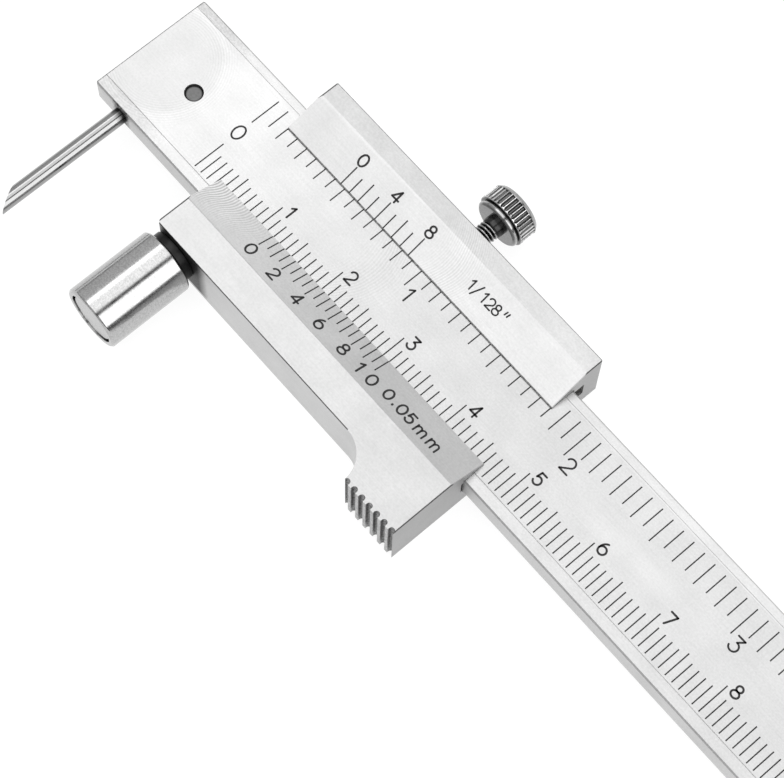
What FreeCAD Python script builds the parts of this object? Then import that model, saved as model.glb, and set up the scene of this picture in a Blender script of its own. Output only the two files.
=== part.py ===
import FreeCAD, Part
import math
import os

from FreeCAD import Vector

# Steel marking gauge. Millimetres. +X runs along the beam from the zero line of its scales,
# +Y runs across it towards the lock screw, +Z rises from the beam's back to its graduated face.

# Beam
BEAM_WIDTH = 15.5
BEAM_THICKNESS = 3.5
BEAM_HEAD_X = -15.0
BEAM_TAIL_X = 240.0
EDGE_BEVEL_DROP = 0.12
BEVEL_STEP_WIDTH = 0.08
BEVEL_STEP_DROP = 0.055
LOWER_BEVEL_WIDTH = 1.4
UPPER_BEVEL_WIDTH = 1.1
BEAM_MID_Z = BEAM_THICKNESS / 2
BEAM_EDGE_Y = BEAM_WIDTH / 2
BEAM_EDGE_BREAK = 0.17

# Scriber and what holds it
SCRIBER_X = -10.75
SCRIBER_DIA = 1.9
SCRIBER_ROOT_Y = 1.0
SCRIBER_TIP_Y = -25.05
SCRIBER_CUT_Y = -22.0
SCRIBER_GRUB_DIA = 2.0
SCRIBER_GRUB_Y = -2.5
HEAD_PIN_X = -6.9
HEAD_PIN_Y = -0.45
HEAD_PIN_DIA = 2.2
HEAD_PIN_RECESS = 0.3
PIN_CHAMFER = 0.15

# End stop at the tail
STOP_X = 236.8
STOP_Y = 6.0
STOP_SHANK_DIA = 1.6
STOP_HEAD_DIA = 3.0
STOP_HEAD_HEIGHT = 0.9

# Slider: a channel that wraps the beam from behind and both sides
SLIDER_X0 = 3.15
SLIDER_X1 = 46.15
SLIDER_BACK_Z = -2.6
SLIDER_TOP_Z = 5.6
LOWER_SIDE_Y = -13.75
LOWER_BEVEL_Y = -9.55
METRIC_EDGE_Y = -4.95
INCH_EDGE_Y = 4.55
UPPER_BEVEL_Y = 9.45
UPPER_SIDE_Y = 11.7
SLIDING_GAP = 0.05
VERNIER_EDGE_THICKNESS = 0.12
GIB_SLOT_Y = 9.35
GIB_SLOT_TOP_Z = 2.5
RELIEF_DEPTH = 0.3
LOWER_CORNER_CHAMFER = 0.4
UPPER_CORNER_CHAMFER = 0.12
HEAD_END_BREAK = 0.25
TAIL_END_BREAK = 0.12
LONG_EDGE_BREAK = 0.1

# Thumb pad on the slider's lower side
PAD_SIDE_Y = -17.65
PAD_X0 = 38.4
PAD_FILLET_RADIUS = 3.9
PAD_GROOVE_COUNT = 7
PAD_GROOVE_PITCH = 1.17
PAD_GROOVE_FIRST_X = 38.75
PAD_GROOVE_WIDTH = 0.72
PAD_GROOVE_DEPTH = 0.55

# Guide roller and its shoulder screw
ROLLER_X = 6.0
ROLLER_DIA = 7.7
ROLLER_NEAR_Y = -14.9
ROLLER_FAR_Y = -25.55
AXLE_DIA = 3.0
AXLE_THREAD_DIA = 2.5
AXLE_THREAD_LENGTH = 4.4
AXLE_HEAD_DIA = 5.7
AXLE_HEAD_THICKNESS = 1.0
AXLE_HEAD_INSET = 0.15
HEAD_POCKET_DIA = 6.2
BUSH_OUTER_DIA = 4.6
BUSH_LENGTH = 3.6
RUNNING_GAP = 0.03
SPACER_DIA = 6.0

# Gib and the screws that act on it
GIB_X0 = 4.4
GIB_X1 = 44.9
GIB_GAP = 0.2
GIB_THICKNESS = 1.2
GIB_HEIGHT = 2.36
GIB_SCREW_DIA = 2.0
GIB_SCREW_XS = (12.0, 40.0)
GIB_SCREW_RECESS = 0.25

# Lock screw
LOCK_X = 26.05
STUD_DIA = 2.5
STUD_TIP_DIA = 1.0
THREAD_PITCH = 0.45
THREAD_DEPTH = 0.27
NECK_DIA = 2.6
NECK_START_Y = 13.9
KNOB_UNDER_Y = 14.75
KNOB_UNDER_DIA = 5.5
KNOB_FLANGE_DIA = 6.05
KNOB_GROOVE_DIA = 5.6
KNOB_BAND_START_Y = 15.45
KNOB_BAND_END_Y = 17.75
KNOB_FACE_Y = 18.05
KNOB_DIA = 6.6
KNURL_COUNT = 36
KNURL_DEPTH = 0.28


def prism_along_x(points_yz, x0, x1):
    """Solid with a constant section in the YZ plane, from x0 to x1."""
    corners = [Vector(x0, y, z) for y, z in points_yz]
    face = Part.Face(Part.makePolygon(corners + corners[:1]))
    return face.extrude(Vector(x1 - x0, 0, 0))


def rod(x, y0, y1, z, diameter):
    """Cylinder along Y between two Y positions."""
    return Part.makeCylinder(diameter / 2, y1 - y0, Vector(x, y0, z), Vector(0, 1, 0))


def turned_along_y(profile, x, z):
    """Solid of revolution about the line along Y through (x, z); profile is (radius, y)."""
    corners = [Vector(x + radius, y, z) for radius, y in profile]
    face = Part.Face(Part.makePolygon(corners + corners[:1]))
    return face.revolve(Vector(x, 0, z), Vector(0, 1, 0), 360)


def edge_wedge(corner, run, leg_a, leg_b):
    """Triangular waste that breaks a sharp edge: from corner along run, with legs into the solid."""
    overshoot = (leg_a + leg_b) * -0.5
    corners = [corner + leg_a + leg_a * 0.5 - leg_b * 0.5, corner + leg_b + leg_b * 0.5 - leg_a * 0.5]
    corners.append(corner + overshoot)
    return Part.Face(Part.makePolygon(corners + corners[:1])).extrude(run)


def socket_cut(position, direction, depth):
    """Hexagonal driving socket for a small grub screw."""
    across_corners = 1.04
    corners = []
    for step in range(6):
        angle = math.radians(60 * step)
        corners.append(Vector(across_corners / 2 * math.cos(angle), across_corners / 2 * math.sin(angle), 0))
    socket = Part.Face(Part.makePolygon(corners + corners[:1])).extrude(Vector(0, 0, depth))
    socket.Placement = FreeCAD.Placement(position, FreeCAD.Rotation(Vector(0, 0, 1), direction))
    return socket


def grub_screw(position, direction, length, diameter):
    """Headless screw starting at position, with a socket at that end and a chamfered point."""
    body = Part.makeCylinder(diameter / 2, length - PIN_CHAMFER * 2, position, direction)
    point_base = position + direction * (length - PIN_CHAMFER * 2)
    point = Part.makeCone(diameter / 2, diameter / 2 - PIN_CHAMFER * 2, PIN_CHAMFER * 2, point_base, direction)
    return body.fuse(point).removeSplitter().cut(socket_cut(position, direction, 0.8))


def beam_edge_wedges():
    """Waste for the broken edges of the bar: four long ones, and four round each end."""
    size = BEAM_EDGE_BREAK
    top_z = BEAM_THICKNESS
    side_top_z = BEAM_THICKNESS - EDGE_BEVEL_DROP
    length = Vector(BEAM_TAIL_X - BEAM_HEAD_X + 2, 0, 0)
    wedges = []
    for side in (-1, 1):
        edge_y = side * BEAM_EDGE_Y
        inward = Vector(0, -side * size, 0)
        wedges.append(edge_wedge(Vector(BEAM_HEAD_X - 1, edge_y, 0), length, inward, Vector(0, 0, size)))
        start = Vector(BEAM_HEAD_X - 1, edge_y, side_top_z)
        wedges.append(edge_wedge(start, length, inward, Vector(0, 0, -size)))
    for end_x, inward_x in ((BEAM_HEAD_X, size), (BEAM_TAIL_X, -size)):
        inward = Vector(inward_x, 0, 0)
        across = Vector(0, BEAM_WIDTH + 2, 0)
        for z, leg_z in ((0, size), (top_z, -size)):
            start = Vector(end_x, -BEAM_EDGE_Y - 1, z)
            wedges.append(edge_wedge(start, across, inward, Vector(0, 0, leg_z)))
        upright = Vector(0, 0, top_z + 2)
        for side in (-1, 1):
            start = Vector(end_x, side * BEAM_EDGE_Y, -1)
            wedges.append(edge_wedge(start, upright, inward, Vector(0, -side * size, 0)))
    return wedges


def make_beam():
    """Flat bar whose graduated face is edged by shallow stepped bevels, and its drilled holes."""
    low = -BEAM_EDGE_Y
    high = BEAM_EDGE_Y
    section = [
        (low, 0),
        (high, 0),
        (high, BEAM_THICKNESS - EDGE_BEVEL_DROP),
        (high - UPPER_BEVEL_WIDTH, BEAM_THICKNESS - BEVEL_STEP_DROP),
        (high - UPPER_BEVEL_WIDTH - BEVEL_STEP_WIDTH, BEAM_THICKNESS),
        (low + LOWER_BEVEL_WIDTH + BEVEL_STEP_WIDTH, BEAM_THICKNESS),
        (low + LOWER_BEVEL_WIDTH, BEAM_THICKNESS - BEVEL_STEP_DROP),
        (low, BEAM_THICKNESS - EDGE_BEVEL_DROP),
    ]
    bar = prism_along_x(section, BEAM_HEAD_X, BEAM_TAIL_X)
    for wedge in beam_edge_wedges():
        bar = bar.cut(wedge)
    scriber_bore = rod(SCRIBER_X, low - 1, SCRIBER_ROOT_Y + 0.3, BEAM_MID_Z, SCRIBER_DIA + 0.02)
    grub_length = SCRIBER_X - SCRIBER_DIA / 2 - BEAM_HEAD_X
    grub_hole = Part.makeCylinder(
        SCRIBER_GRUB_DIA / 2 + 0.01,
        grub_length + 0.8,
        Vector(BEAM_HEAD_X - 0.5, SCRIBER_GRUB_Y, BEAM_MID_Z),
        Vector(1, 0, 0),
    )
    pin_hole = Part.makeCylinder(
        HEAD_PIN_DIA / 2, BEAM_THICKNESS + 2, Vector(HEAD_PIN_X, HEAD_PIN_Y, -1), Vector(0, 0, 1)
    )
    stop_hole = Part.makeCylinder(
        STOP_SHANK_DIA / 2 + 0.01, 4, Vector(STOP_X, STOP_Y, 0.6), Vector(0, 0, 1)
    )
    return bar.cut(scriber_bore).cut(grub_hole).cut(pin_hole).cut(stop_hole)


def make_scriber():
    """Round point, ground off obliquely so that its tip is on the roller's side."""
    radius = SCRIBER_DIA / 2
    point = rod(SCRIBER_X, SCRIBER_TIP_Y, SCRIBER_ROOT_Y, BEAM_MID_Z, SCRIBER_DIA)
    waste = [
        Vector(SCRIBER_X + radius, SCRIBER_TIP_Y, 0),
        Vector(SCRIBER_X - radius, SCRIBER_CUT_Y, 0),
        Vector(SCRIBER_X - radius - 2, SCRIBER_CUT_Y, 0),
        Vector(SCRIBER_X - radius - 2, SCRIBER_TIP_Y - 2, 0),
        Vector(SCRIBER_X + radius, SCRIBER_TIP_Y - 2, 0),
    ]
    wedge = Part.Face(Part.makePolygon(waste + waste[:1])).extrude(Vector(0, 0, BEAM_THICKNESS))
    return point.cut(wedge)


def make_scriber_grub_screw():
    """Grub screw in the beam's end face that clamps the scriber."""
    start = Vector(BEAM_HEAD_X + 0.35, SCRIBER_GRUB_Y, BEAM_MID_Z)
    length = SCRIBER_X - SCRIBER_DIA / 2 - 0.02 - start.x
    return grub_screw(start, Vector(1, 0, 0), length, SCRIBER_GRUB_DIA)


def make_head_pin():
    """Plain pin pressed into the head, sunk a little below the graduated face."""
    length = BEAM_THICKNESS - HEAD_PIN_RECESS - 0.1
    radius = HEAD_PIN_DIA / 2
    base = Vector(HEAD_PIN_X, HEAD_PIN_Y, 0.1)
    shank = Part.makeCylinder(radius, length - PIN_CHAMFER, base, Vector(0, 0, 1))
    top = base + Vector(0, 0, length - PIN_CHAMFER)
    crown = Part.makeCone(radius, radius - PIN_CHAMFER, PIN_CHAMFER, top, Vector(0, 0, 1))
    return shank.fuse(crown).removeSplitter()


def make_stop_screw():
    """Slotted cheese-head screw near the tail that the slider's upper vernier edge meets."""
    shank = Part.makeCylinder(STOP_SHANK_DIA / 2, BEAM_THICKNESS - 0.8, Vector(STOP_X, STOP_Y, 0.8))
    head = Part.makeCylinder(STOP_HEAD_DIA / 2, STOP_HEAD_HEIGHT, Vector(STOP_X, STOP_Y, BEAM_THICKNESS))
    slot = Part.makeBox(4, 0.45, 0.4)
    slot.translate(Vector(STOP_X - 2, STOP_Y - 0.225, BEAM_THICKNESS + STOP_HEAD_HEIGHT - 0.4))
    return shank.fuse(head).cut(slot)


def slider_section():
    """YZ outline of the channel: back wall, two side blocks and the two vernier lips."""
    lip_z = BEAM_THICKNESS + SLIDING_GAP
    edge_top_z = lip_z + VERNIER_EDGE_THICKNESS
    floor_z = -SLIDING_GAP
    wall_y = -BEAM_EDGE_Y - SLIDING_GAP
    return [
        (LOWER_SIDE_Y, SLIDER_BACK_Z),
        (UPPER_SIDE_Y, SLIDER_BACK_Z),
        (UPPER_SIDE_Y, SLIDER_TOP_Z),
        (UPPER_BEVEL_Y, SLIDER_TOP_Z),
        (INCH_EDGE_Y, edge_top_z),
        (INCH_EDGE_Y, lip_z),
        (BEAM_EDGE_Y + 0.1, lip_z),
        (BEAM_EDGE_Y + 0.1, GIB_SLOT_TOP_Z),
        (GIB_SLOT_Y, GIB_SLOT_TOP_Z),
        (GIB_SLOT_Y, floor_z),
        (wall_y, floor_z),
        (wall_y, 0.5),
        (wall_y - RELIEF_DEPTH, 0.5),
        (wall_y - RELIEF_DEPTH, 3.0),
        (wall_y, 3.0),
        (wall_y, lip_z),
        (METRIC_EDGE_Y, lip_z),
        (METRIC_EDGE_Y, edge_top_z),
        (LOWER_BEVEL_Y, SLIDER_TOP_Z),
        (LOWER_SIDE_Y, SLIDER_TOP_Z),
    ]


def thumb_pad():
    """Pad that grows out of the lower side through a concave fillet, with cross grooves."""
    height = SLIDER_TOP_Z - SLIDER_BACK_Z
    centre_x = PAD_X0 - PAD_FILLET_RADIUS
    centre = Vector(centre_x, PAD_SIDE_Y, SLIDER_BACK_Z)
    block_x0 = centre_x
    block = Part.makeBox(SLIDER_X1 - block_x0, LOWER_SIDE_Y - PAD_SIDE_Y, height)
    block.translate(Vector(block_x0, PAD_SIDE_Y, SLIDER_BACK_Z))
    pad = block.cut(Part.makeCylinder(PAD_FILLET_RADIUS, height, centre))
    flat_depth = PAD_GROOVE_DEPTH - PAD_GROOVE_WIDTH / 2
    for step in range(PAD_GROOVE_COUNT):
        x = PAD_GROOVE_FIRST_X + step * PAD_GROOVE_PITCH
        mouth = Part.makeBox(PAD_GROOVE_WIDTH, flat_depth + 1, height)
        mouth.translate(Vector(x - PAD_GROOVE_WIDTH / 2, PAD_SIDE_Y - 1, SLIDER_BACK_Z))
        root = Part.makeCylinder(
            PAD_GROOVE_WIDTH / 2, height, Vector(x, PAD_SIDE_Y + flat_depth, SLIDER_BACK_Z)
        )
        pad = pad.cut(mouth.fuse(root))
    return pad


def slider_edge_wedges():
    """Waste for the slider's broken edges: three upright corners, both end edges, two long edges."""
    upright = Vector(0, 0, SLIDER_TOP_Z - SLIDER_BACK_Z + 2)
    across = Vector(0, UPPER_SIDE_Y - PAD_SIDE_Y + 2, 0)
    wedges = []
    for x, y, x_leg, y_leg in (
        (SLIDER_X0, LOWER_SIDE_Y, LOWER_CORNER_CHAMFER, LOWER_CORNER_CHAMFER),
        (SLIDER_X0, UPPER_SIDE_Y, UPPER_CORNER_CHAMFER, -UPPER_CORNER_CHAMFER),
        (SLIDER_X1, UPPER_SIDE_Y, -UPPER_CORNER_CHAMFER, -UPPER_CORNER_CHAMFER),
    ):
        leg_x = Vector(x_leg, 0, 0)
        leg_y = Vector(0, y_leg, 0)
        wedges.append(edge_wedge(Vector(x, y, SLIDER_BACK_Z - 1), upright, leg_x, leg_y))
    for x, leg in ((SLIDER_X0, HEAD_END_BREAK), (SLIDER_X1, -TAIL_END_BREAK)):
        start = Vector(x, PAD_SIDE_Y - 1, SLIDER_TOP_Z)
        wedges.append(edge_wedge(start, across, Vector(leg, 0, 0), Vector(0, 0, -abs(leg))))
    length = Vector(SLIDER_X1 - SLIDER_X0 + 2, 0, 0)
    start = Vector(SLIDER_X0 - 1, UPPER_SIDE_Y, SLIDER_TOP_Z)
    size = LONG_EDGE_BREAK
    wedges.append(edge_wedge(start, length, Vector(0, -size, 0), Vector(0, 0, -size)))
    start = Vector(SLIDER_X0 - 1, LOWER_SIDE_Y, SLIDER_TOP_Z)
    to_pad = Vector(PAD_X0 - PAD_FILLET_RADIUS - SLIDER_X0 + 1, 0, 0)
    wedges.append(edge_wedge(start, to_pad, Vector(0, size, 0), Vector(0, 0, -size)))
    return wedges


def make_slider_body():
    """Channel-shaped slider with thumb pad, and the threaded holes for its screws."""
    body = prism_along_x(slider_section(), SLIDER_X0, SLIDER_X1)
    body = body.fuse(thumb_pad()).removeSplitter()
    for wedge in slider_edge_wedges():
        body = body.cut(wedge)
    axle_hole = rod(
        ROLLER_X, LOWER_SIDE_Y - 1, LOWER_SIDE_Y + AXLE_THREAD_LENGTH + 0.4, BEAM_MID_Z, AXLE_THREAD_DIA + 0.02
    )
    lock_hole = rod(LOCK_X, GIB_SLOT_Y - 0.5, UPPER_SIDE_Y + 1, BEAM_MID_Z, STUD_DIA + 0.1)
    body = body.cut(axle_hole).cut(lock_hole)
    for x in GIB_SCREW_XS:
        body = body.cut(rod(x, GIB_SLOT_Y - 0.5, UPPER_SIDE_Y + 1, gib_mid_z(), GIB_SCREW_DIA + 0.02))
    return body


def gib_mid_z():
    """Height of the gib's centre line."""
    return 0.02 + GIB_HEIGHT / 2


def make_gib():
    """Bronze strip beside the beam's upper edge, with a dimple for the lock screw."""
    strip = Part.makeBox(GIB_X1 - GIB_X0, GIB_THICKNESS, GIB_HEIGHT)
    strip.translate(Vector(GIB_X0, BEAM_EDGE_Y + GIB_GAP, 0.02))
    back_y = BEAM_EDGE_Y + GIB_GAP + GIB_THICKNESS
    dimple = rod(LOCK_X, back_y - 0.35, back_y + 1, BEAM_MID_Z, STUD_TIP_DIA + 0.1)
    return strip.cut(dimple)


def make_gib_screws():
    """Pair of grub screws, flush in the slider's upper side, that set the gib's free play."""
    screws = []
    for x in GIB_SCREW_XS:
        start = Vector(x, UPPER_SIDE_Y - GIB_SCREW_RECESS, gib_mid_z())
        length = start.y - (GIB_SLOT_Y + 0.05)
        screws.append(grub_screw(start, Vector(0, -1, 0), length, GIB_SCREW_DIA))
    return Part.makeCompound(screws)


def make_lock_stud():
    """Threaded stud and neck of the lock screw; its turned-down tip sits in the gib's dimple."""
    root = STUD_DIA / 2 - THREAD_DEPTH
    crest = STUD_DIA / 2
    tip_y = BEAM_EDGE_Y + GIB_GAP + GIB_THICKNESS - 0.3
    thread_y0 = tip_y + 0.6
    turns = int((NECK_START_Y - thread_y0) / THREAD_PITCH)
    tip_radius = STUD_TIP_DIA / 2
    profile = [(0, tip_y), (tip_radius - 0.1, tip_y), (tip_radius, tip_y + 0.1), (tip_radius, thread_y0)]
    for turn in range(turns):
        y = thread_y0 + turn * THREAD_PITCH
        profile.append((root, y))
        profile.append((crest, y + THREAD_PITCH * 0.44))
        profile.append((crest, y + THREAD_PITCH * 0.56))
    neck_y = thread_y0 + turns * THREAD_PITCH
    profile.append((root, neck_y))
    profile.append((NECK_DIA / 2, neck_y + 0.25))
    profile.append((NECK_DIA / 2, KNOB_UNDER_Y))
    profile.append((STUD_DIA / 2, KNOB_UNDER_Y))
    profile.append((STUD_DIA / 2, KNOB_BAND_END_Y - 0.6))
    profile.append((0, KNOB_BAND_END_Y - 0.6))
    return turned_along_y(profile, LOCK_X, BEAM_MID_Z)


def knurl_outline():
    """Closed zigzag of straight flutes around the knob, in the XZ plane."""
    corners = []
    half_pitch = math.pi / KNURL_COUNT
    land = half_pitch * 0.22
    for step in range(KNURL_COUNT):
        middle = step * 2 * half_pitch
        for angle, radius in (
            (middle - land, KNOB_DIA / 2),
            (middle + land, KNOB_DIA / 2),
            (middle + half_pitch, KNOB_DIA / 2 - KNURL_DEPTH),
        ):
            x = LOCK_X + radius * math.cos(angle)
            z = BEAM_MID_Z + radius * math.sin(angle)
            corners.append(Vector(x, KNOB_BAND_START_Y, z))
    return corners


def make_lock_knob():
    """Knob with a plain flange, a groove, and a fluted band with a chamfered outer face."""
    flange = turned_along_y(
        [
            (0, KNOB_UNDER_Y),
            (KNOB_UNDER_DIA / 2, KNOB_UNDER_Y),
            (KNOB_FLANGE_DIA / 2, KNOB_UNDER_Y + 0.25),
            (KNOB_FLANGE_DIA / 2, KNOB_UNDER_Y + 0.5),
            (KNOB_GROOVE_DIA / 2, KNOB_UNDER_Y + 0.55),
            (KNOB_GROOVE_DIA / 2, KNOB_BAND_START_Y),
            (0, KNOB_BAND_START_Y),
        ],
        LOCK_X,
        BEAM_MID_Z,
    )
    corners = knurl_outline()
    band_length = KNOB_FACE_Y - KNOB_BAND_START_Y
    band = Part.Face(Part.makePolygon(corners + corners[:1])).extrude(Vector(0, band_length, 0))
    envelope = turned_along_y(
        [
            (0, KNOB_BAND_START_Y),
            (KNOB_DIA / 2 - 0.2, KNOB_BAND_START_Y),
            (KNOB_DIA / 2 + 0.02, KNOB_BAND_START_Y + 0.2),
            (KNOB_DIA / 2 + 0.02, KNOB_BAND_END_Y),
            (KNOB_DIA / 2 - 0.33, KNOB_FACE_Y),
            (0, KNOB_FACE_Y),
        ],
        LOCK_X,
        BEAM_MID_Z,
    )
    knob = flange.fuse(band.common(envelope)).removeSplitter()
    return knob.cut(rod(LOCK_X, KNOB_UNDER_Y - 1, KNOB_BAND_END_Y - 0.6, BEAM_MID_Z, STUD_DIA))


def make_roller_sleeve():
    """Guide roller: a tube with a counterbore at its outer end for the axle's head."""
    chamfer = 0.25
    radius = ROLLER_DIA / 2
    bore = BUSH_OUTER_DIA / 2
    pocket_y = ROLLER_FAR_Y + AXLE_HEAD_INSET + AXLE_HEAD_THICKNESS + 0.25
    return turned_along_y(
        [
            (bore, ROLLER_NEAR_Y),
            (radius - chamfer, ROLLER_NEAR_Y),
            (radius, ROLLER_NEAR_Y - chamfer),
            (radius, ROLLER_FAR_Y + chamfer),
            (radius - chamfer, ROLLER_FAR_Y),
            (HEAD_POCKET_DIA / 2, ROLLER_FAR_Y),
            (HEAD_POCKET_DIA / 2, pocket_y),
            (bore, pocket_y),
        ],
        ROLLER_X,
        BEAM_MID_Z,
    )


def make_roller_bushes():
    """Two plain bearing bushes pressed into the roller."""
    inner = AXLE_DIA / 2 + RUNNING_GAP
    outer = BUSH_OUTER_DIA / 2
    far_y = ROLLER_FAR_Y + AXLE_HEAD_INSET + AXLE_HEAD_THICKNESS + 0.25
    bushes = []
    for y in (ROLLER_NEAR_Y - BUSH_LENGTH, far_y):
        profile = [(inner, y), (outer, y), (outer, y + BUSH_LENGTH), (inner, y + BUSH_LENGTH)]
        bushes.append(turned_along_y(profile, ROLLER_X, BEAM_MID_Z))
    return Part.makeCompound(bushes)


def make_roller_axle():
    """Shoulder screw: threaded end in the slider, bearing shoulder, and a disc head."""
    head_y = ROLLER_FAR_Y + AXLE_HEAD_INSET
    thread_y = LOWER_SIDE_Y + AXLE_THREAD_LENGTH
    screw = turned_along_y(
        [
            (0, head_y),
            (AXLE_HEAD_DIA / 2 - 0.1, head_y),
            (AXLE_HEAD_DIA / 2, head_y + 0.1),
            (AXLE_HEAD_DIA / 2, head_y + AXLE_HEAD_THICKNESS),
            (AXLE_DIA / 2, head_y + AXLE_HEAD_THICKNESS),
            (AXLE_DIA / 2, LOWER_SIDE_Y),
            (AXLE_THREAD_DIA / 2, LOWER_SIDE_Y),
            (AXLE_THREAD_DIA / 2, thread_y - 0.2),
            (AXLE_THREAD_DIA / 2 - 0.2, thread_y),
            (0, thread_y),
        ],
        ROLLER_X,
        BEAM_MID_Z,
    )
    return screw


def make_roller_spacer():
    """Washer that holds the roller clear of the slider's side."""
    inner = AXLE_DIA / 2 + 0.02
    profile = [
        (inner, ROLLER_NEAR_Y + 0.05),
        (SPACER_DIA / 2, ROLLER_NEAR_Y + 0.05),
        (SPACER_DIA / 2, LOWER_SIDE_Y),
        (inner, LOWER_SIDE_Y),
    ]
    return turned_along_y(profile, ROLLER_X, BEAM_MID_Z)


NODES = {
    "beam": make_beam,
    "scriber": make_scriber,
    "scriber_grub_screw": make_scriber_grub_screw,
    "head_pin": make_head_pin,
    "stop_screw": make_stop_screw,
    "slider_body": make_slider_body,
    "gib": make_gib,
    "gib_set_screws": make_gib_screws,
    "lock_stud": make_lock_stud,
    "lock_knob": make_lock_knob,
    "roller_sleeve": make_roller_sleeve,
    "roller_bushes": make_roller_bushes,
    "roller_axle": make_roller_axle,
    "roller_spacer": make_roller_spacer,
}


def write_parts():
    """Write one STEP file per sub-part."""
    os.makedirs("parts", exist_ok=True)
    for name, make in NODES.items():
        shape = make()
        if not shape.isValid():
            raise ValueError(name + " is not a valid shape")
        shape.exportStep("parts/" + name + ".step")
        print(name, round(shape.Volume, 2), len(shape.Solids))


write_parts()
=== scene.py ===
import bpy
import math
from mathutils import Matrix, Vector


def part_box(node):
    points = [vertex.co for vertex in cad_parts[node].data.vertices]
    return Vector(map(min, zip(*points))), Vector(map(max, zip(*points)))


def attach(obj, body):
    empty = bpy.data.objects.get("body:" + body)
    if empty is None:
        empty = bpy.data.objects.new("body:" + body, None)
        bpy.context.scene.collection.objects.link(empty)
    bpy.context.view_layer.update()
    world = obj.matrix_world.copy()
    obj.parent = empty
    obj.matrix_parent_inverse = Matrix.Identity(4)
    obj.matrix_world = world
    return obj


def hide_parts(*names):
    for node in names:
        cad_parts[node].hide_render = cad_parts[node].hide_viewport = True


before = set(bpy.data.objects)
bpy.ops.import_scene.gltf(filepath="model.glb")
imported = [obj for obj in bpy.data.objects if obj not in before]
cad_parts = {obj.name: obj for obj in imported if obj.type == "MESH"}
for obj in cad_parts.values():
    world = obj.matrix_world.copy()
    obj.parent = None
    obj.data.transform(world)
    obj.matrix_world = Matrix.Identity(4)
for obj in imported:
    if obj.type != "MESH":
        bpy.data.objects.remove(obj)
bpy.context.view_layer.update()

# Steel marking gauge. Lengths are written in millimetres and turned to metres once, here.
# +X runs along the beam, +Y across it towards the lock screw, +Z rises to the graduated face.
MM = 0.001


def node_reach(node):
    """Lowest and highest corners of a CAD node, in millimetres."""
    low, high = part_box(node)
    return low / MM, high / MM


def node_centre(node):
    """Middle of a CAD node's box, in millimetres."""
    low, high = node_reach(node)
    return (low + high) / 2


beam_low, beam_high = node_reach("beam")


# ---------------------------------------------------------------- colour and node helpers

def linear(hex_colour):
    """Linear RGBA of an sRGB hex colour."""
    channels = [int(hex_colour[i:i + 2], 16) / 255 for i in (1, 3, 5)]
    return [c / 12.92 if c <= 0.04045 else ((c + 0.055) / 1.055) ** 2.4 for c in channels] + [1.0]


def add(owner, kind, settings=None, links=None):
    """Adds one node, sets its fields and inputs by name, and links inputs from (node, output)."""
    node = owner.node_tree.nodes.new(kind)
    for name, value in (settings or {}).items():
        if isinstance(name, str) and hasattr(node, name):
            setattr(node, name, value)
        else:
            node.inputs[name].default_value = value
    for name, (source, output) in (links or {}).items():
        owner.node_tree.links.new(source.outputs[output], node.inputs[name])
    return node


def new_material(name):
    """Empty node material, and the output node that its shader is linked to at the end."""
    material = bpy.data.materials.new(name)
    material.use_nodes = True
    material.node_tree.nodes.clear()
    return material, add(material, "ShaderNodeOutputMaterial")


def finish_material(material, output, shader):
    """The material with its shader linked to its output."""
    material.node_tree.links.new(shader.outputs[0], output.inputs["Surface"])
    return material


# ---------------------------------------------------------------- materials

# Sizes of the steel's patterns, in millimetres
SPECKLE = 0.25
CLOUD = 4
# Grinding lines are 0.06 apart on real steel, and drawn this far apart so that they show
GRINDING_LINE = 0.14
GRINDING_STRETCH = 40
WHEEL_RIPPLE = 0.3
WHEEL_RIPPLE_REACH = 2.5
WHEEL_RIPPLE_STRENGTH = 0.2
WHEEL_DISC_EDGE = 0.3
WHEEL_DISC_TONE = 0.93


def wheel_disc(material, where, x, y, radius):
    """Wave and strength of the ripples round a cup wheel's disc on the beam, and the disc's tone."""
    away = add(material, "ShaderNodeVectorMath",
               {"operation": "DISTANCE", 1: (x * MM, y * MM, beam_high.z * MM)},
               {0: (where, "Object")})
    phase = add(material, "ShaderNodeMath",
                {"operation": "MULTIPLY", 1: math.tau / (WHEEL_RIPPLE * MM)}, {0: (away, "Value")})
    wave = add(material, "ShaderNodeMath", {"operation": "SINE"}, {0: (phase, 0)})
    past_rim = add(material, "ShaderNodeMath", {"operation": "SUBTRACT", 1: radius * MM},
                   {0: (away, "Value")})
    from_rim = add(material, "ShaderNodeMath", {"operation": "ABSOLUTE"}, {0: (past_rim, 0)})
    strength = add(material, "ShaderNodeMapRange",
                   {"From Max": WHEEL_RIPPLE_REACH * MM, "To Min": WHEEL_RIPPLE_STRENGTH,
                    "To Max": 0.0, "interpolation_type": "SMOOTHSTEP"}, {"Value": (from_rim, 0)})
    tone = add(material, "ShaderNodeMapRange",
               {"From Min": -WHEEL_DISC_EDGE * MM, "From Max": WHEEL_DISC_EDGE * MM,
                "To Min": WHEEL_DISC_TONE}, {"Value": (past_rim, 0)})
    return wave, strength, tone


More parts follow.
